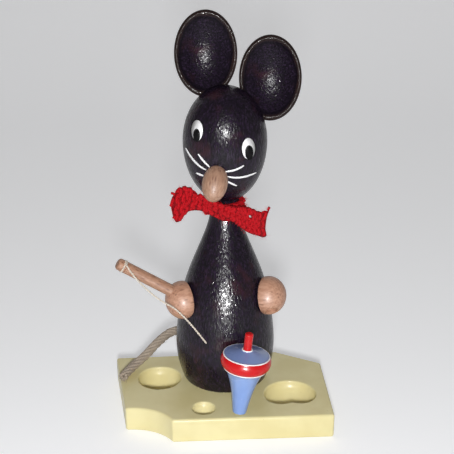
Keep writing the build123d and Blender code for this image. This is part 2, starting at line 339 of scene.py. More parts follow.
def spline_object(name, kind, lines, radius=0.0, sides=8, radii=None):
    """A curve object with one spline for each line of points, round if it has a radius."""
    curve = bpy.data.curves.new(name, "CURVE")
    curve.dimensions = "3D"
    curve.bevel_depth = radius
    curve.bevel_resolution = (sides - 4) // 2
    curve.use_fill_caps = radius > 0
    for line in lines:
        spline = curve.splines.new(kind)
        spline.points.add(len(line) - 1)
        for index, (control, place) in enumerate(zip(spline.points, line)):
            control.co = (*place, 1)
            control.radius = radii(index / (len(line) - 1)) if radii else 1.0
        spline.order_u = 3
        spline.use_endpoint_u = True
        spline.resolution_u = SPLINE_STEPS
        spline.use_smooth = True
    return bpy.data.objects.new(name, curve)


def smooth_line(name, controls):
    """The points along the NURBS spline that a route's control points make."""
    drawn = spline_object(name, "NURBS", [controls])
    mesh = bpy.data.meshes.new_from_object(drawn)
    line = [vertex.co.copy() for vertex in mesh.vertices]
    bpy.data.meshes.remove(mesh)
    bpy.data.curves.remove(drawn.data)
    return line


def line_length(line):
    """Length of a line of points."""
    return sum((after - before).length for before, after in zip(line, line[1:]))


def spaced(line, step):
    """The line again, with its points evenly spaced."""
    count = max(2, round(line_length(line) / step))
    gap = line_length(line) / count
    made = [line[0].copy()]
    walked = 0.0
    for before, after in zip(line, line[1:]):
        run = (after - before).length
        while run > 0 and walked + run >= gap * len(made) and len(made) < count:
            made.append(before.lerp(after, (gap * len(made) - walked) / run))
        walked += run
    return made + [line[-1].copy()]


def rails(line):
    """For each point of a line: the way on, and two ways square to it that don't twist."""
    found = []
    side = None
    for index, point in enumerate(line):
        on = (line[min(index + 1, len(line) - 1)] - line[max(index - 1, 0)]).normalized()
        side = on.orthogonal() if side is None else side
        side = (side - on * side.dot(on)).normalized()
        found.append((point, on, side, on.cross(side)))
    return found


tail_line = spaced(smooth_line("tail_route", in_metres(TAIL_ROUTE)), TAIL_STEP)
print("tail", round(line_length(tail_line) / MM, 1), "mm long, cord", TAIL_D / MM, "mm")

# %% [markdown]
# ## Wood, as a group that all wooden finishes share
# Turned wood shows long streaks along the grain, short darker flecks where its rays are cut, and broad
# patches that took more or less stain. Each is noise that is squeezed across the grain and stretched along
# it. They go into one node group with the grain along Z, so every wooden finish only sets its colours.

# %% Wood figure group
ALONG_GRAIN = (1, 1, 0.28)
FLECK_FINENESS = 0.75
PATCH_FINENESS = 0.08
RIPPLE_FINENESS = 0.85
FLECK_DEPTH = 0.3


def new_group(name, inputs):
    """A node group with named inputs, a vector where no value is given, and its inputs to use."""
    tree = bpy.data.node_groups.new(name, "ShaderNodeTree")
    for label, value in inputs.items():
        kind = "NodeSocketVector" if value is None else "NodeSocketFloat"
        socket = tree.interface.new_socket(label, in_out="INPUT", socket_type=kind)
        if value is not None:
            socket.default_value = value
    return tree, tree.nodes.new("NodeGroupInput").outputs


def give_out(tree, values):
    """The end of a node group: each value gets a named output."""
    for label in values:
        tree.interface.new_socket(label, in_out="OUTPUT", socket_type="NodeSocketFloat")
    feed(tree, tree.nodes.new("NodeGroupOutput"), values)
    return tree


def wood_figure():
    """Streaks, flecks, patches and a height, for grain along Z."""
    tree, given = new_group("Wood figure", {"Vector": None, "Fineness": 2600.0, "Fleck Share": 0.5})
    fineness = given["Fineness"]
    grain = vector_math(tree, "MULTIPLY", given["Vector"], ALONG_GRAIN)
    streak = noise(tree, grain, fineness, 4.0, 0.62)
    fleck = spots(tree, grain, times(tree, fineness, FLECK_FINENESS), given["Fleck Share"], 0.12, 0.42)
    patch = noise(tree, given["Vector"], times(tree, fineness, PATCH_FINENESS), 2.0)
    ripple = noise(tree, grain, times(tree, fineness, RIPPLE_FINENESS), 1.0)
    height = math_node(tree, "SUBTRACT", ripple, times(tree, fleck, FLECK_DEPTH))
    return give_out(tree, {"Streak": streak, "Fleck": fleck, "Patch": patch, "Height": height})


WOOD_FIGURE = wood_figure()
print("group:", WOOD_FIGURE.name, [socket.name for socket in WOOD_FIGURE.interface.items_tree])

# %% [markdown]
# ## Stained wood
# The mouse is stained nearly black and lacquered: the stain is thin where wood stands proud, the open pores
# stay dark, and the lacquer over them breaks each highlight into sparkles. The ears are turned from a board,
# so their finish is measured in each ear's own plane, where the rim's stain is rubbed thin and a dark line of
# painted shadow runs just inside the rim. An image could hold all this, but noise in real sizes runs round
# the turned shapes without a seam.

# %% Body, head and ears
# The deep stain colour also serves as the ears' painted shadow line just inside the rim.
STAIN_DEEP = (0.0050, 0.0032, 0.0066, 1)
STAIN_THIN = (0.030, 0.018, 0.040, 1)
STAIN_RED = (0.052, 0.015, 0.020, 1)
RUBBED_RIM = (0.024, 0.014, 0.009, 1)
RED_SHARE = 0.5
RIM_WAVE = 0.05
LACQUER_ROUGHNESS = (0.36, 0.15)
LACQUER_DEPTH = 0.09 * MM
BODY_SHINE = 0.24
EAR_SHINE = 0.12
EAR_HALF = (7.0 * MM, 9.5 * MM)
EAR_AT = {"left": (-4.0, 3.3, 84.6), "right": (10.3, 2.2, 79.1)}
EAR_YAW = math.radians(-5)
EAR_PITCH = math.radians(10)
EAR_TURN = (math.pi / 2 - EAR_PITCH, 0, EAR_YAW)


def new_finish(name, group, values, at=(0, 0, 0), turn=(0, 0, 0)):
    """A material with a group placed in it, measured from a place on the piece and along turned axes."""
    material, tree, shader = new_material(name)
    inputs = {"Vector": object_vector(tree, at, turn), **values}
    return material, tree, shader, put(tree, "Group", inputs, node_tree=group).outputs


def with_rim_shadow_and_wear(tree, color, wood, in_oval):
    """A colour with a painted shadow line just inside the rim and a rubbed rim, where 1 in the oval's own
    measure is its edge.
    """
    flat = vector_math(tree, "MULTIPLY", in_oval, (1, 1, 0))
    from_middle = put(tree, "VectorMath", {0: flat}, operation="LENGTH").outputs["Value"]
    wavy = math_node(tree, "ADD", from_middle, reach(tree, wood["Patch"], -RIM_WAVE, RIM_WAVE))
    # Painted shadow: a dark line in the deep stain's colour just inside the rim, where the dish meets it.
    rim_shadow = math_node(tree, "SUBTRACT", mask(tree, wavy, 0.76, 0.82), mask(tree, wavy, 0.83, 0.88))
    worn = times(tree, mask(tree, wavy, 0.83, 0.90), reach(tree, wood["Streak"], 0.2, 1.1))
    return blend(tree, worn, blend(tree, rim_shadow, color, STAIN_DEEP), RUBBED_RIM)


def stained_wood(name, at=(0, 0, 0), turn=(0, 0, 0), oval=None):
    """Black-brown lacquered wood. An oval's two half sizes rub the stain off outside it and paint a shadow
    line just inside it.
    """
    values = {"Fineness": 2600.0, "Fleck Share": 0.65}
    material, tree, shader, wood = new_finish(name, WOOD_FIGURE, values, at, turn)
    color = blend(tree, mask(tree, wood["Streak"], 0.42, 0.72), STAIN_DEEP, STAIN_THIN)
    color = blend(tree, times(tree, mask(tree, wood["Patch"], 0.52, 0.80), RED_SHARE), color, STAIN_RED)
    color = blend(tree, wood["Fleck"], color, STAIN_DEEP)
    if oval:
        color = with_rim_shadow_and_wear(tree, color, wood, object_vector(tree, at, turn, (*oval, 1)))
    lacquered = mask(tree, wood["Streak"], 0.40, 0.62)
    feed(tree, shader, {
        "Base Color": color,
        "Roughness": reach(tree, lacquered, *LACQUER_ROUGHNESS),
        "Normal": bump(tree, wood["Height"], 1.0, LACQUER_DEPTH),
        "Specular IOR Level": EAR_SHINE if oval else BODY_SHINE,
    })
    return material


def dress(material, *parts):
    """CAD nodes get one material in place of what they came with."""
    for part in parts:
        nodes[part].data.materials.clear()
        nodes[part].data.materials.append(material)


dress(stained_wood("black_stained_wood"), "body", "head")
for side, at in EAR_AT.items():
    dress(stained_wood(f"black_stained_ear_{side}", Vector(at) * MM, EAR_TURN, EAR_HALF), f"ear_{side}")
print("stained:", [material.name for material in bpy.data.materials if "stained" in material.name])

# %% [markdown]
# ## Plain wood
# Nose and hands are plain beech with a thin clear coat, the stick is a redder dowel, and the pegs inside are
# raw. They need the same figure in other colours, so one function makes them all. The grain of a turned knob
# runs along its own axis, so each finish is measured from its piece and turned with it.

# %% Hands, nose, stick and dowels
# Each wood: its pale, deep and fleck colours.
BEECH = opaque([(0.60, 0.345, 0.235), (0.43, 0.215, 0.135), (0.20, 0.085, 0.045)])
NOSE_BEECH = opaque([(0.47, 0.285, 0.195), (0.31, 0.165, 0.105), (0.15, 0.065, 0.040)])
STICK_WOOD = opaque([(0.50, 0.285, 0.185), (0.33, 0.165, 0.10), (0.17, 0.07, 0.038)])
DOWEL_WOOD = opaque([(0.72, 0.52, 0.33), (0.58, 0.38, 0.21), (0.40, 0.22, 0.11)])
DEEP_SHARE = 0.5
FLECK_SHARE = 0.7
PLAIN_DEPTH = 0.06 * MM
HAND_AT = {"left": Vector((-9.1, -3.3, 28.15)) * MM, "right": Vector((8.8, -4.3, 28.9)) * MM}
HAND_WAY = {"left": Vector((-0.94, -0.342, 0.0)), "right": Vector((0.888, -0.433, 0.156))}
NOSE_AT = Vector((-3.0, -10.3, 59.1)) * MM
NOSE_TURN = (math.radians(-45), 0, math.radians(-17))
STICK_TIP = Vector((-25.0, -5.6, 38.9)) * MM
STICK_SEAT = Vector((-10.7, -4.1, 29.45)) * MM


def plain_wood(name, colors, fineness, at=(0, 0, 0), turn=(0, 0, 0)):
    """Clear-coated wood that keeps its own colours."""
    pale, deep, fleck = colors
    values = {"Fineness": fineness, "Fleck Share": 0.45}
    material, tree, shader, wood = new_finish(name, WOOD_FIGURE, values, at, turn)
    color = blend(tree, mask(tree, wood["Streak"], 0.32, 0.68), deep, pale)
    color = blend(tree, times(tree, mask(tree, wood["Patch"], 0.45, 0.8), DEEP_SHARE), color, deep)
    color = blend(tree, times(tree, wood["Fleck"], FLECK_SHARE), color, fleck)
    feed(tree, shader, {
        "Base Color": color,
        "Roughness": reach(tree, wood["Streak"], 0.62, 0.42),
        "Normal": bump(tree, wood["Height"], 0.4, PLAIN_DEPTH),
        "Coat Weight": 0.2,
        "Coat Roughness": 0.3,
    })
    return material


for side, way in HAND_WAY.items():
    hand_turn = way.to_track_quat("Z", "Y").to_euler()
    dress(plain_wood(f"beech_{side}", BEECH, 2000.0, HAND_AT[side], hand_turn), f"hand_{side}")
dress(plain_wood("beech_nose", NOSE_BEECH, 2200.0, NOSE_AT, NOSE_TURN), "nose")
stick_way = (STICK_SEAT - STICK_TIP).normalized()
stick_turn = stick_way.to_track_quat("Z", "Y").to_euler()
dress(plain_wood("stick_wood", STICK_WOOD, 2600.0, STICK_TIP, stick_turn), "whip_handle")
raw_dowel = plain_wood("dowel_wood", DOWEL_WOOD, 2000.0)
dress(raw_dowel, "neck_dowel", "body_dowel", "nose_dowel", "hand_dowel_left", "hand_dowel_right")
print("group:", WOOD_FIGURE.name, "used by", WOOD_FIGURE.users, "materials")

# %% [markdown]
# ## Paint, as a second group
# Brushed and dipped paint is never quite even: it has a faint orange peel, slow drifts of tint where the film
# is thicker, and a few specks of dust. One group gives those three, and the yellow board and the gloss paints
# of the top and of the eyes use it with their own colours. The bright wire of the pins borrows its drift.

# %% Paint film group and painted finishes
# Each paint: its pale, deep and speck colours, roughness, coat and shine.
PAINTS = {
    "cheese_paint": ((0.84, 0.76, 0.42), (0.78, 0.69, 0.35), (0.55, 0.44, 0.17), 0.42, 0.15, 0.5),
    "red_paint": ((0.64, 0.008, 0.011), (0.55, 0.006, 0.008), (0.25, 0.01, 0.01), 0.28, 0.05, 0.3),
    "violet_blue_paint": ((0.23, 0.32, 0.62), (0.19, 0.28, 0.56), (0.3, 0.3, 0.5), 0.28, 0.4, 0.5),
    "light_blue_paint": ((0.24, 0.39, 0.76), (0.20, 0.33, 0.70), (0.4, 0.5, 0.8), 0.28, 0.5, 0.5),
    "white_paint": ((0.94, 0.94, 0.96), (0.89, 0.90, 0.92), (0.5, 0.5, 0.5), 0.35, 0.3, 0.5),
    "black_paint": ((0.004, 0.004, 0.005), (0.007, 0.006, 0.007), (0.02, 0.02, 0.02), 0.6, 0.0, 0.1),
}
PEEL_SCALE = 1400.0
PEEL_DEPTH = 0.03 * MM
DRIFT_FINENESS = 0.09
DUSTY_SHARE = 0.02
DUST_HEIGHT = 0.8
DUST_SHARE = 0.7
UNEVEN_GLOSS = 0.06


def paint_film():
    """Drift of tint, specks of dust and the peel of the surface."""
    tree, given = new_group("Paint film", {"Vector": None, "Peel Scale": PEEL_SCALE})
    place, scale = given["Vector"], given["Peel Scale"]
    peel = noise(tree, place, scale, 2.0)
    drift = noise(tree, place, times(tree, scale, DRIFT_FINENESS), 3.0)
    speck = spots(tree, place, scale, DUSTY_SHARE, 0.05, 0.22)
    height = math_node(tree, "ADD", peel, times(tree, speck, DUST_HEIGHT))
    return give_out(tree, {"Drift": drift, "Speck": speck, "Height": height})


PAINT_FILM = paint_film()


def paint(name, pale, deep, speck, roughness, coat, shine):
    """A coat of paint over wood."""
    pale, deep, speck = opaque([pale, deep, speck])
    material, tree, shader, film = new_finish(name, PAINT_FILM, {"Peel Scale": PEEL_SCALE})
    color = blend(tree, mask(tree, film["Drift"], 0.35, 0.7), pale, deep)
    feed(tree, shader, {
        "Base Color": blend(tree, times(tree, film["Speck"], DUST_SHARE), color, speck),
        "Roughness": reach(tree, film["Drift"], roughness - UNEVEN_GLOSS, roughness + UNEVEN_GLOSS),
        "Normal": bump(tree, film["Height"], 0.25, PEEL_DEPTH),
        "Specular IOR Level": shine,
        "Coat Weight": coat,
        "Coat Roughness": 0.12,
    })
    return material


def bright_wire():
    """Drawn metal wire, a little uneven in its polish."""
    material, tree, shader, film = new_finish("bright_wire", PAINT_FILM, {"Peel Scale": 5000.0})
    polish = reach(tree, film["Drift"], 0.2, 0.4)
    feed(tree, shader, {"Base Color": (0.56, 0.55, 0.53, 1), "Metallic": 1.0, "Roughness": polish})
    return material


paints = {name: paint(name, *values) for name, values in PAINTS.items()}
dress(paints["cheese_paint"], "cheese_base")
dress(paints["red_paint"], "top_stem")
dress(bright_wire(), "ear_pin_left", "ear_pin_right", "top_pin")
print("group:", PAINT_FILM.name, "used by", PAINT_FILM.users, "materials")

# %% [markdown]
# ## Fibres, as a third group
# Hemp, cotton and wool are all bundles of fibres that run along a strand. A curve that is made a mesh gets a
# UV map with U round the strand and V along it, so streaks that are long in V follow every twist and loop by
# themselves. The group gives fine streaks, a slow change of tint and a height, and each yarn sets how many
# fibres it shows.

# %% Fibre group and yarn finishes
# Each yarn: its pale and deep colours, fibres round it, fibres along it, twist and sheen.
YARNS = {
    "hemp_cord": ((0.68, 0.59, 0.49), (0.25, 0.195, 0.15), 4.0, 60.0, 6.0, 0.15),
    "cotton_string": ((0.90, 0.86, 0.80), (0.56, 0.47, 0.36), 2.5, 120.0, 9.0, 0.1),
    "red_wool": ((0.74, 0.009, 0.018), (0.24, 0.002, 0.006), 2.5, 40.0, 14.0, 0.2),
    # The core's darker red is painted shade, seen in the gaps behind the loops.
    "red_wool_core_painted_shade": ((0.30, 0.004, 0.009), (0.13, 0.001, 0.003), 6.0, 90.0, 30.0, 0.1),
    "red_wool_fuzz": ((0.74, 0.025, 0.035), (0.50, 0.008, 0.015), 1.0, 6.0, 0.0, 0.35),
}
STRANDS_APART = 400.0
FIBRE_DEPTH = 0.08 * MM


def fibre_streaks():
    """Streaks along a strand, a slow drift of tint and a height, from its UV map."""
    inputs = {"Vector": None, "Fibres Round": 9.0, "Fibres Along": 12.0, "Twist": 4.0}
    tree, given = new_group("Fibre streaks", inputs)
    place = put(tree, "SeparateXYZ", {0: put(tree, "UVMap").outputs[0]}).outputs
    turned = math_node(tree, "ADD", place[0], times(tree, place[1], given["Twist"]))
    around = times(tree, turned, math.tau)
    circle = {0: math_node(tree, "COSINE", around), 1: math_node(tree, "SINE", around)}
    wide = scaled(tree, put(tree, "CombineXYZ", circle).outputs[0], given["Fibres Round"])
    along = put(tree, "CombineXYZ", {2: times(tree, place[1], given["Fibres Along"])}).outputs[0]
    along = vector_math(tree, "ADD", along, scaled(tree, given["Vector"], STRANDS_APART))
    streak = noise(tree, vector_math(tree, "ADD", wide, along), 1.0, 3.0, 0.7)
    drift = noise(tree, along, 0.6, 2.0)
    return give_out(tree, {"Streak": streak, "Drift": drift, "Height": streak})


FIBRE_STREAKS = fibre_streaks()


def yarn_finish(name, pale, deep, fibres_round, fibres_along, twist, sheen):
    """Matt fibres with a little fuzz light at the edge."""
    pale, deep = opaque([pale, deep])
    values = {"Fibres Round": fibres_round, "Fibres Along": fibres_along, "Twist": twist}
    material, tree, shader, fibre = new_finish(name, FIBRE_STREAKS, values)
    shade = times(tree, mask(tree, fibre["Streak"], 0.3, 0.7), reach(tree, fibre["Drift"], 0.6, 1.2))
    feed(tree, shader, {
        "Base Color": blend(tree, shade, deep, pale),
        "Roughness": reach(tree, fibre["Streak"], 0.95, 0.75),
        "Normal": bump(tree, fibre["Height"], 0.6, FIBRE_DEPTH),
        "Specular IOR Level": 0.12,
        "Sheen Weight": sheen,
        "Sheen Roughness": 0.5,
        "Sheen Tint": pale,
    })
    return material


yarns = {name: yarn_finish(name, *values) for name, values in YARNS.items()}
print("group:", FIBRE_STREAKS.name, "used by", FIBRE_STREAKS.users, "yarns")

# %% [markdown]
# ## Tail
# The tail is a short end of hemp cord glued into the back of the body. Cord is strands laid round each other,
# so a plain tube would look like wire. Here six lines wind round the route, each becomes a round strand, and
# loose fibres stand off along it and fan out where it was cut.

# %% Six hemp strands and their loose fibres
TAIL_STRANDS = 6
TAIL_STRAND_R = 0.43 * MM
TAIL_RING_R = 0.70 * MM
TAIL_LAY = 10.0 * MM
TAIL_POINTS_INSIDE = 14
TAIL_FIBRE_R = 0.035 * MM
TAIL_FIBRE_SHARE = 0.55
TAIL_FAN = 60
MERGE_WITHIN = 0.0002 * MM


def round_line(side, up, turn):
    """The way out of a line, at an angle round it."""
    return side * math.cos(turn) + up * math.sin(turn)


def twisted(line, strands, ring, lay):
    """Lines of the strands that wind round a cord's line."""
    step = line_length(line) / (len(line) - 1)
    wound = []
    for strand in range(strands):
        first = math.tau * strand / strands
        turns = [first + math.tau * step * index / lay for index in range(len(line))]
        wound.append([point + round_line(side, up, turn) * ring
                      for (point, on, side, up), turn in zip(rails(line), turns)])
    return wound


def strand_mesh(name, lines, radius, material, sides=8, radii=None):
    """Round strands along lines as one closed mesh, with U round each strand and V along it."""
    drawn = spline_object(name, "POLY", lines, radius, sides, radii)
    rough = bpy.data.meshes.new_from_object(drawn)
    bpy.data.curves.remove(drawn.data)
    mesh = bmesh.new()
    mesh.from_mesh(rough)
    bpy.data.meshes.remove(rough)
    bmesh.ops.remove_doubles(mesh, verts=mesh.verts, dist=MERGE_WITHIN)
    return mesh_object(name, mesh, [material])


def bent_line(root, way, bend, length, shares):
    """Points from a root that start one way and bend off another."""
    return [root + (way * share + bend * share * share) * length for share in shares]


def hair(root, way, length, droop, rng):
    """A short curved fibre from a root."""
    bend = Vector([rng.uniform(-1, 1) for axis in range(3)]) * droop
    return bent_line(root, way, bend, length, (0.0, 0.35, 0.7, 1.0))


def thin_to_tip(share):
    """Fibre that is thinner towards its tip."""
    return 1.0 - 0.7 * share


def any_way(rng):
    """A direction, any one as likely as another."""
    return Vector([rng.gauss(0, 1) for axis in range(3)]).normalized()


def tail_fibres(line, rng):
    """Loose fibres along the cord, and a fan of them at its cut end."""
    found = []
    for point, on, side, up in rails(line)[TAIL_POINTS_INSIDE:]:
        if rng.random() < TAIL_FIBRE_SHARE:
            out = round_line(side, up, rng.uniform(0, math.tau))
            way = (out * 0.45 + on * rng.choice((-1, 1)) + any_way(rng) * 0.3).normalized()
            found.append(hair(point + out * TAIL_D * 0.42, way, rng.uniform(0.6, 1.6) * MM, 0.35, rng))
    point, on, side, up = rails(line)[-1]
    for count in range(TAIL_FAN):
        out = round_line(side, up, rng.uniform(0, math.tau)) * math.sqrt(rng.random())
        root = point - on * 0.3 * MM + out * TAIL_D * 0.45
        found.append(hair(root, (on + out * 0.5).normalized(), rng.uniform(0.7, 1.7) * MM, 0.2, rng))
    return found


hemp = yarns["hemp_cord"]
tail_strands = twisted(tail_line, TAIL_STRANDS, TAIL_RING_R, TAIL_LAY)
tail = strand_mesh("tail_cord_strands", tail_strands, TAIL_STRAND_R, hemp)
tail_hairs = tail_fibres(tail_line, random.Random(3))
tail_fuzz = strand_mesh("tail_fibres", tail_hairs, TAIL_FIBRE_R, hemp, 4, thin_to_tip)
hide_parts("tail_cord")
for piece in (tail, tail_fuzz):
    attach(piece, "base")
print("tail:", len(tail.data.polygons), "faces, loose fibres:", len(tail_fuzz.data.polygons), "faces")

# %% [markdown]
# ## Whip string
# A thin two-ply string is hitched in a groove near the stick's tip and hangs down past the hand. The hitch is
# a turn of the same string, so its points come first in the string's own spline, worked out as a circle about
# the stick, and the hanging route follows them.

# %% Two cotton plies, hitched to the stick
STRING_STEP = 0.12 * MM
STRING_ROUTE = [
    (-23.0, -6.9, 38.9),
    (-21.1, -7.5, 36.0),
    (-18.6, -8.0, 33.2),
    (-15.5, -8.6, 30.5),
    (-12.3, -9.2, 28.85),
    (-9.7, -9.8, 26.2),
    (-7.3, -10.6, 23.3),
    (-5.2, -11.1, 20.4),
]
HITCH_AT = STICK_TIP + stick_way * 1.9 * MM
HITCH_R = 1.39 * MM
HITCH_TURNS = 1.15
HITCH_POINTS = 20
HITCH_WIDTH = 0.5 * MM
STRING_PLIES = 2
STRING_PLY_R = 0.125 * MM
STRING_RING_R = 0.105 * MM
STRING_LAY = 1.3 * MM


def hitch_points(leaves_at):
    """Turns round the stick that end where the string leaves it."""
    outward = leaves_at - HITCH_AT
    outward = (outward - stick_way * outward.dot(stick_way)).normalized()
    beside = stick_way.cross(outward)
    made = []
    for index in range(HITCH_POINTS):
        back = index / HITCH_POINTS - 1
        drift = stick_way * HITCH_WIDTH * back
        made.append(HITCH_AT + drift + round_line(outward, beside, back * math.tau * HITCH_TURNS) * HITCH_R)
    return made


string_route = in_metres(STRING_ROUTE)
string_line = smooth_line("string_route", hitch_points(string_route[0]) + string_route)
string_line = spaced(string_line, STRING_STEP)
string_plies = twisted(string_line, STRING_PLIES, STRING_RING_R, STRING_LAY)
string = strand_mesh("whip_string_plies", string_plies, STRING_PLY_R, yarns["cotton_string"], 6)
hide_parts("whip_string", "whip_hitch")
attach(string, "base")
print("string", round(line_length(string_line) / MM, 1), "mm long,", len(string.data.polygons), "faces")

# %% [markdown]
# ## Scarf: the strip
# The scarf is a knitted strip of red wool. It starts at the left end, passes the front of the neck, goes once
# round it, crosses over itself and ends on the right. Cloth could be simulated, but so small and stiff a
# strip keeps the shape it was pulled into, so its two edges are drawn as splines. Any point of the fabric is
# then a place along the strip and a place across it, and a pleat folds it where it is bunched round the neck.

# %% Edges of the strip and points on it
SCARF_LEFT_END = [
    ((-11.9, -2.5, 53.0), (-12.4, -2.5, 51.4)),
    ((-10.9, -2.7, 55.6), (-12.0, -2.6, 47.6)),
    ((-9.3, -3.2, 56.3), (-10.6, -2.9, 47.4)),
    ((-7.5, -3.9, 55.8), (-8.9, -3.5, 50.4)),
    ((-6.6, -4.2, 54.0), (-7.4, -4.0, 50.9)),
    ((-5.4, -4.5, 54.8), (-5.7, -4.5, 51.0)),
    ((-3.9, -4.7, 52.2), (-3.8, -4.8, 50.1)),
]
SCARF_RING_R = 4.25
SCARF_RING_Z = (51.5, 48.1)
SCARF_RING_FROM = -10
SCARF_RING_TO = 285
SCARF_RING_STATIONS = 9
SCARF_RIGHT_END = [
    ((-4.5, -3.6, 52.8), (-4.5, -3.7, 51.4)),
    ((-2.8, -5.4, 53.2), (-2.8, -5.7, 50.8)),
    ((-0.6, -6.0, 52.2), (-0.8, -6.3, 50.2)),
    ((1.6, -5.9, 51.8), (1.2, -6.2, 48.8)),
    ((3.6, -5.2, 51.5), (3.2, -5.4, 46.8)),
    ((5.4, -4.8, 51.0), (5.0, -4.7, 45.2)),
    ((7.4, -4.4, 49.6), (7.0, -4.4, 44.5)),
    ((9.0, -4.2, 49.8), (8.7, -4.2, 43.6)),
    ((9.9, -4.1, 51.0), (9.2, -4.1, 44.2)),
]
PLEAT = 0.25 * MM
PLEATS_ACROSS = 1.5
PLEAT_DRIFT = 0.35
BUNCHED_HALF = 2.4 * MM
END_REACH = 5.0 * MM
END_HOLLOW = 0.9 * MM


def neck_stations():
    """Pairs of edge points once round the neck, from the front by the right."""
    made = []
    for index in range(SCARF_RING_STATIONS):
        turn = SCARF_RING_FROM + (SCARF_RING_TO - SCARF_RING_FROM) * index / (SCARF_RING_STATIONS - 1)
        x = SCARF_RING_R * math.sin(math.radians(turn))
        y = -SCARF_RING_R * math.cos(math.radians(turn))
        made.append(tuple((x, y, z) for z in SCARF_RING_Z))
    return made


scarf_stations = SCARF_LEFT_END + neck_stations() + SCARF_RIGHT_END
scarf_top = smooth_line("scarf_top_edge", in_metres([top for top, low in scarf_stations]))
scarf_low = smooth_line("scarf_low_edge", in_metres([low for top, low in scarf_stations]))
scarf_middle = [(top + low) / 2 for top, low in zip(scarf_top, scarf_low)]
scarf_walked = [0.0]
for before, after in zip(scarf_middle, scarf_middle[1:]):
    scarf_walked.append(scarf_walked[-1] + (after - before).length)
SCARF_LENGTH = scarf_walked[-1]


def scarf_frame(along):
    """Middle, half of the height and the outward way at a distance along the strip."""
    along = min(max(along, 0.0), SCARF_LENGTH)
    index = min(bisect.bisect_right(scarf_walked, along), len(scarf_walked) - 1)
    before, after = scarf_walked[index - 1], scarf_walked[index]
    share = (along - before) / max(after - before, 1e-9)
    top = scarf_top[index - 1].lerp(scarf_top[index], share)
    low = scarf_low[index - 1].lerp(scarf_low[index], share)
    on = scarf_middle[min(index + 3, len(scarf_middle) - 1)] - scarf_middle[max(index - 4, 0)]
    half = (top - low) / 2
    return (top + low) / 2, half, on.cross(half).normalized()


def on_scarf(along, across, off=0.0):
    """A point of the fabric: along the strip, across it from -1 to 1, and off its face."""
    near_end = max(0.0, 1 - (SCARF_LENGTH - along) / END_REACH)
    middle, half, out = scarf_frame(along - END_HOLLOW * near_end * (1 - across * across))
    bunched = min(1.0, BUNCHED_HALF / half.length)
    fold = PLEAT * bunched * math.cos(math.pi * across * PLEATS_ACROSS + along / MM * PLEAT_DRIFT)
    return middle + half * across + out * (fold + off)


print("scarf strip", round(SCARF_LENGTH / MM, 1), "mm long")

# %% [markdown]
# ## Scarf: knitting
# In plain knitting each row is one yarn that waves up and down, and its loops hang in the loops of the row
# before. The wave is a sine whose crowns lean over their necks and rise off the cloth, so three sines draw a
# row. A thin felt core lies in the middle of the cloth, closes the gaps behind the loops and is what the
# cloth's size is measured on. Its darker red is painted shade where the gaps between the loops are seen.
# One dropped stitch leaves a gap near the right end.

# %% Felt core and rows of loops
STITCHES = 3
ROW_STEP = 1.42 * MM
ROW_MARGIN = 0.6 * MM
ROW_SHIFT = 0.10
LOOP_REACH = 1.10 * MM
LOOP_LEAN = 0.25
LOOP_RISE = 0.34 * MM
LOOP_SLACK = (0.85, 1.15)
LOOP_EDGE = 1.02
YARN_R = 0.40 * MM
POINTS_PER_LOOP = 18
CORE_THICK = 0.40 * MM
CORE_WIDTH = 0.94
CORE_GRID = (200, 16)
GAP_ALONG = SCARF_LENGTH - 5.0 * MM
GAP_ACROSS = 0.42
GAP_R = 0.55 * MM
GAP_PUSH = 1.5 * MM


def from_gap(along, across):
    """How far a place on the cloth is from the gap, along and across, and half the height there."""
    height = scarf_frame(along)[1].length
    return along - GAP_ALONG, (across - GAP_ACROSS) * height, height


def beside_gap(along, across):
    """A place on the cloth moved aside where a dropped stitch leaves a gap."""
    run, rise, height = from_gap(along, across)
    away = math.hypot(run, rise)
    if away > GAP_PUSH or away == 0:
        return along, across
    grown = (GAP_R + away * (1 - GAP_R / GAP_PUSH)) / away
    return GAP_ALONG + run * grown, GAP_ACROSS + rise * grown / height


def in_gap(face):
    """Whether a face of the flat felt lies in the gap."""
    run, rise, height = from_gap(*face.calc_center_median()[:2])
    return math.hypot(run, rise) < GAP_R


def scarf_core():
    """Thin closed felt in the middle of the cloth, with the gap left open."""
    mesh = bmesh.new()
    mesh.loops.layers.uv.new("UVMap")
    bmesh.ops.create_grid(mesh, x_segments=CORE_GRID[0], y_segments=CORE_GRID[1], size=1, calc_uvs=True)
    for vertex in mesh.verts:
        vertex.co.x = (vertex.co.x + 1) / 2 * SCARF_LENGTH
    bmesh.ops.delete(mesh, geom=[face for face in mesh.faces if in_gap(face)], context="FACES")
    for vertex in mesh.verts:
        vertex.co = on_scarf(vertex.co.x, vertex.co.y * CORE_WIDTH, CORE_THICK / 2)
    bmesh.ops.solidify(mesh, geom=mesh.faces, thickness=CORE_THICK)
    return mesh


def knitted_row(start, rng):
    """One yarn across the strip, in loops."""
    slack = [rng.uniform(*LOOP_SLACK) for stitch in range(STITCHES + 1)]
    shift = rng.uniform(-ROW_SHIFT, ROW_SHIFT) * MM
    line = []
    for index in range(STITCHES * POINTS_PER_LOOP + 1):
        turn = math.tau * index / POINTS_PER_LOOP
        stitch = index // POINTS_PER_LOOP
        across = (turn / math.tau + LOOP_LEAN * math.sin(2 * turn)) / STITCHES * 2 - 1
        along = start + shift - LOOP_REACH * slack[stitch] * math.cos(turn)
        along, across = beside_gap(along, max(-LOOP_EDGE, min(LOOP_EDGE, across)))
        line.append(on_scarf(along, across, LOOP_RISE * math.cos(2 * turn) * slack[stitch]))
    return line


knit_rng = random.Random(11)
row_count = round((SCARF_LENGTH - 2 * ROW_MARGIN) / ROW_STEP)
rows = [knitted_row(ROW_MARGIN + ROW_STEP * row, knit_rng) for row in range(row_count)]
scarf_yarn = strand_mesh("scarf_yarn", rows, YARN_R, yarns["red_wool"], 6)
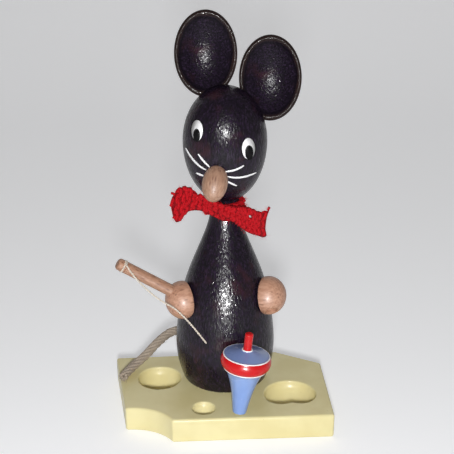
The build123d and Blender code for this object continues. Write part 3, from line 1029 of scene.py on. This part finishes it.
# The felt core is dressed in a darker red wool: painted shade behind the loops.
scarf = mesh_object("scarf_core_painted_shade", scarf_core(), [yarns["red_wool_core_painted_shade"]])
print("knitting:", row_count, "rows,", len(scarf_yarn.data.polygons), "faces")

# %% [markdown]
# ## Scarf: fuzz
# Wool is never smooth: short fibres stand off every loop and blur the edge against the light. A particle
# system could scatter them, but a seeded loop gives the same hairs each time and a mesh that can be exported.
# More of them sit on the two edges, where they show, and a cut end of yarn stands off each end of the strip.

# %% Wool hairs and loose ends
FUZZ_ON_FACE = 1300
FUZZ_ON_EDGE = 500
FUZZ_R = 0.026 * MM
FUZZ_OFF = 0.6
FUZZ_LENGTH = (0.35, 0.95)
FUZZ_DROOP = 0.55
LOOSE_DROOP = Vector((0, 0, -0.3))
LOOSE_R = YARN_R * 0.8


def wool_hairs(rng):
    """Short hairs on both faces and along the edges."""
    found = []
    for count in range(FUZZ_ON_FACE + FUZZ_ON_EDGE):
        along = rng.uniform(0, SCARF_LENGTH)
        at_edge = count >= FUZZ_ON_FACE
        across = rng.choice((-1, 1)) * rng.uniform(0.9, 1.04) if at_edge else rng.uniform(-1, 1)
        middle, half, out = scarf_frame(along)
        face = rng.choice((-1, 1, 1))
        lift = half.normalized() * math.copysign(1, across) if at_edge else out * face
        way = (lift + any_way(rng) * 0.8).normalized()
        root = on_scarf(along, across, face * FUZZ_OFF * MM)
        found.append(hair(root, way, rng.uniform(*FUZZ_LENGTH) * MM, FUZZ_DROOP, rng))
    return found


def loose_end(along, across, way, length):
    """A cut end of yarn that stands off the knitting."""
    return bent_line(on_scarf(along, across), way, LOOSE_DROOP, length, (0, 0.25, 0.5, 0.75, 1))


scarf_hairs = wool_hairs(random.Random(5))
scarf_fuzz = strand_mesh("scarf_fuzz", scarf_hairs, FUZZ_R, yarns["red_wool_fuzz"], 4, thin_to_tip)
ends = [loose_end(SCARF_LENGTH - 0.3 * MM, 0.9, Vector((0.35, -0.1, 0.9)), 1.0 * MM),
        loose_end(0.4 * MM, 0.9, Vector((-0.6, -0.2, 0.7)), 1.4 * MM)]
scarf_ends = strand_mesh("scarf_loose_ends", ends, LOOSE_R, yarns["red_wool"], 6)
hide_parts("scarf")
for piece in (scarf, scarf_yarn, scarf_fuzz, scarf_ends):
    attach(piece, "base")

# %% [markdown]
# ## Spinning top
# A top is turned on a lathe and painted while it turns, so every colour is a ring. The lathe's tool here is
# spin: an outline is drawn beside the axis, run by run, each run remembers its paint, and one full turn makes
# the top. The white lines are thin beads of paint that stand a little proud. At the end the top is leaned.

# %% Turned top with painted rings
TOP_FOOT = Vector((1.8, -18.3, 6.0)) * MM
TOP_CROWN = Vector((4.05, -17.5, 25.7)) * MM
TOP_LIFT = 0.3 * MM
TOP_STEPS = 96
TOP_PAINTS = ["light_blue_paint", "white_paint", "red_paint", "violet_blue_paint"]
LIGHT_BLUE, WHITE, RED, VIOLET = range(len(TOP_PAINTS))
TOP_RUNS = [
    (LIGHT_BLUE, [(0.0, 0.0), (0.8, 0.0), (1.40, 0.0)]),
    (LIGHT_BLUE, [(1.40, 0.0), (1.60, 0.0), (1.60, 0.2)]),
    (LIGHT_BLUE, [(1.60, 0.2), (2.20, 3.9), (2.65, 7.6), (4.50, 11.05)]),
    (LIGHT_BLUE, [(4.50, 11.05), (4.65, 11.15), (4.80, 11.22)]),
    (WHITE, [(4.80, 11.22), (4.95, 11.12), (5.06, 11.30), (4.98, 11.46)]),
    (RED, [(4.98, 11.46), (5.75, 11.95), (6.08, 13.30), (5.36, 14.46)]),
    (WHITE, [(5.36, 14.46), (5.36, 14.64), (5.26, 14.70), (5.14, 14.66)]),
    (VIOLET, [(5.14, 14.66), (3.6, 15.06), (2.2, 15.45), (1.25, 15.72)]),
    (WHITE, [(1.25, 15.72), (1.25, 15.98), (1.05, 16.02), (0.9, 15.80)]),
    (WHITE, [(0.9, 15.80), (0.4, 15.80), (0.0, 15.80)]),
]
POINTS_PER_RUN = 10
SEAM_WITHIN = 0.001 * MM


def bend_point(corners, share):
    """The point some share of the way along the Bezier curve of three or four corners."""
    row = [Vector(corner) for corner in corners]
    while len(row) > 1:
        row = [first.lerp(second, share) for first, second in zip(row, row[1:])]
    return row[0]


def turned_top():
    """The outline spun about Z, with its paints as material numbers, then leaned and set down."""
    mesh = bmesh.new()
    outline = [mesh.verts.new((0, 0, 0))]
    bands = []
    for paint_index, corners in TOP_RUNS:
        for index in range(POINTS_PER_RUN):
            radius, height = bend_point(corners, (index + 1) / POINTS_PER_RUN) * MM
            outline.append(mesh.verts.new((radius, 0, height)))
            mesh.edges.new(outline[-2:])
            bands.append(((outline[-1].co + outline[-2].co) / 2, paint_index))
    bmesh.ops.spin(mesh, geom=list(mesh.verts) + list(mesh.edges), cent=(0, 0, 0), axis=(0, 0, 1),
                   angle=math.tau, steps=TOP_STEPS, use_merge=True)
    bmesh.ops.remove_doubles(mesh, verts=mesh.verts, dist=SEAM_WITHIN)
    for face in mesh.faces:
        middle = face.calc_center_median()
        unspun = Vector((middle.xy.length, 0, middle.z))
        face.material_index = min(bands, key=lambda band: (band[0] - unspun).length)[1]
    lean = (TOP_CROWN - TOP_FOOT).normalized()
    leaned = lean.to_track_quat("Z", "Y").to_matrix().to_4x4()
    placed = Matrix.Translation(TOP_FOOT + lean * TOP_LIFT) @ leaned
    bmesh.ops.transform(mesh, matrix=placed, verts=mesh.verts)
    return mesh


top = mesh_object("top_painted_body", turned_top(), [paints[name] for name in TOP_PAINTS])
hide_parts("top_body")
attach(top, "spinning_top")
print("top:", len(top.data.polygons), "faces")

# %% [markdown]
# ## Eyes and whiskers
# Eyes and whiskers are dabs of thick paint on the round head. A texture could hold them, but real dabs have
# an edge and a dome. Each is drawn flat as the photograph shows it, dropped along the sight lines onto the
# head, raised a little in its middle and given a thickness, so it follows the head from every side.

# %% Painted spots and strokes
# Eyes: middle and half sizes in the photograph's pixels. Whiskers: tip, middle and root in the same pixels.
EYES = {
    "left": {"white": (197.2, 130.5, 5.6, 10.4), "pupil": (196.9, 135.3, 3.4, 6.5)},
    "right": {"white": (248.4, 148.6, 6.4, 10.6), "pupil": (249.0, 152.4, 4.0, 7.2)},
}
EYE_RIM = 0.9
WHISKERS = {
    "left_high": [(185.8, 148.0), (194.9, 161.7), (206.5, 170.0)],
    "left_inner": [(198.2, 153.8), (203.6, 161.0), (209.8, 167.1)],
    "left_low": [(196.4, 172.9), (200.0, 174.5), (203.6, 175.8)],
    "right_high": [(243.8, 165.4), (234.7, 170.0), (224.3, 171.6)],
    "right_middle": [(256.2, 172.5), (240.5, 177.4), (227.2, 176.2)],
    "right_low": [(236.8, 185.7), (231.9, 183.7), (227.2, 181.2)],
}
WHISKER_HALF = 0.95
WHISKER_GRID = (28, 6)
SPOT_SIDES = 48
SPOT_RINGS = 4
SPOT_RING_STEP = 0.06
RIM_RAISED = 0.02 * MM
WHITE_RAISED = 0.06 * MM
PUPIL_RAISED = 0.12 * MM
WHISKER_RAISED = 0.05 * MM
PAINT_DOME = 0.06 * MM
PAINT_SUNK = 0.12 * MM

head_mesh = nodes["head"].data
head_tree = BVHTree.FromPolygons([vertex.co for vertex in head_mesh.vertices],
                                 [polygon.vertices for polygon in head_mesh.polygons])


def on_head(px, py, off):
    """Where the sight line through a pixel meets the head, and a little above it."""
    place, out, face, far = head_tree.ray_cast(camera_at, sight_line(px, py))
    return place + out * off


def painted_spot(oval, raised):
    """An oval dab of paint on the head."""
    middle_x, middle_y, half_x, half_y = oval
    mesh = bmesh.new()
    bmesh.ops.create_circle(mesh, segments=SPOT_SIDES, radius=1.0, cap_ends=True)
    for ring in range(SPOT_RINGS):
        inner = [face for face in mesh.faces if len(face.verts) > 4]
        bmesh.ops.inset_region(mesh, faces=inner, thickness=SPOT_RING_STEP + SPOT_RING_STEP * ring)
    bmesh.ops.poke(mesh, faces=[face for face in mesh.faces if len(face.verts) > 4])
    for vertex in mesh.verts:
        x, y = vertex.co.xy
        dome = PAINT_DOME * (1 - min(1.0, vertex.co.length) ** 4)
        vertex.co = on_head(middle_x + x * half_x, middle_y - y * half_y, raised + dome)
    return mesh


def stroke_half(share):
    """Half the width of a stroke along its way: it starts thin, swells and is rounded off at its end."""
    swell = 0.25 + 0.75 * math.sin(math.pi * min(1, share * 0.75 + 0.12)) ** 0.8
    return WHISKER_HALF * swell * min(1, ((1 - share) * 14 + 0.15)) ** 0.5


def painted_stroke(points):
    """A brush stroke on the head."""
    first, middle, last = (Vector(point) for point in points)
    corners = (first, middle * 2 - (first + last) / 2, last)
    mesh = bmesh.new()
    bmesh.ops.create_grid(mesh, x_segments=WHISKER_GRID[0], y_segments=WHISKER_GRID[1], size=1)
    for vertex in mesh.verts:
        share = (vertex.co.x + 1) / 2
        on = bend_point(corners, min(1, share + 0.01)) - bend_point(corners, max(0, share - 0.01))
        beside = Vector((-on.y, on.x)).normalized()
        spot = bend_point(corners, share) + beside * vertex.co.y * stroke_half(share)
        vertex.co = on_head(spot.x, spot.y, WHISKER_RAISED + PAINT_DOME * (1 - vertex.co.y ** 2))
    return mesh


def dab(name, mesh, finish):
    """A painted shape given its thickness, its paint and its ride on the head."""
    bmesh.ops.recalc_face_normals(mesh, faces=mesh.faces)
    middle = sum((vertex.co for vertex in mesh.verts), Vector()) / len(mesh.verts)
    if mesh.faces[0].normal.dot(camera_at - middle) < 0:
        bmesh.ops.reverse_faces(mesh, faces=mesh.faces)
    bmesh.ops.solidify(mesh, geom=mesh.faces, thickness=PAINT_SUNK)
    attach(mesh_object(name, mesh, [paints[finish]]), "head_unit")


for side, eye in EYES.items():
    x, y, half_x, half_y = eye["white"]
    rim = (x, y, half_x + EYE_RIM, half_y + EYE_RIM)
    dab(f"eye_rim_{side}", painted_spot(rim, RIM_RAISED), "black_paint")
    dab(f"eye_white_{side}", painted_spot(eye["white"], WHITE_RAISED), "white_paint")
    dab(f"eye_pupil_{side}", painted_spot(eye["pupil"], PUPIL_RAISED), "black_paint")
for name, points in WHISKERS.items():
    dab(f"whisker_{name}", painted_stroke(points), "white_paint")
print("painted on the head:", 3 * len(EYES) + len(WHISKERS), "dabs")
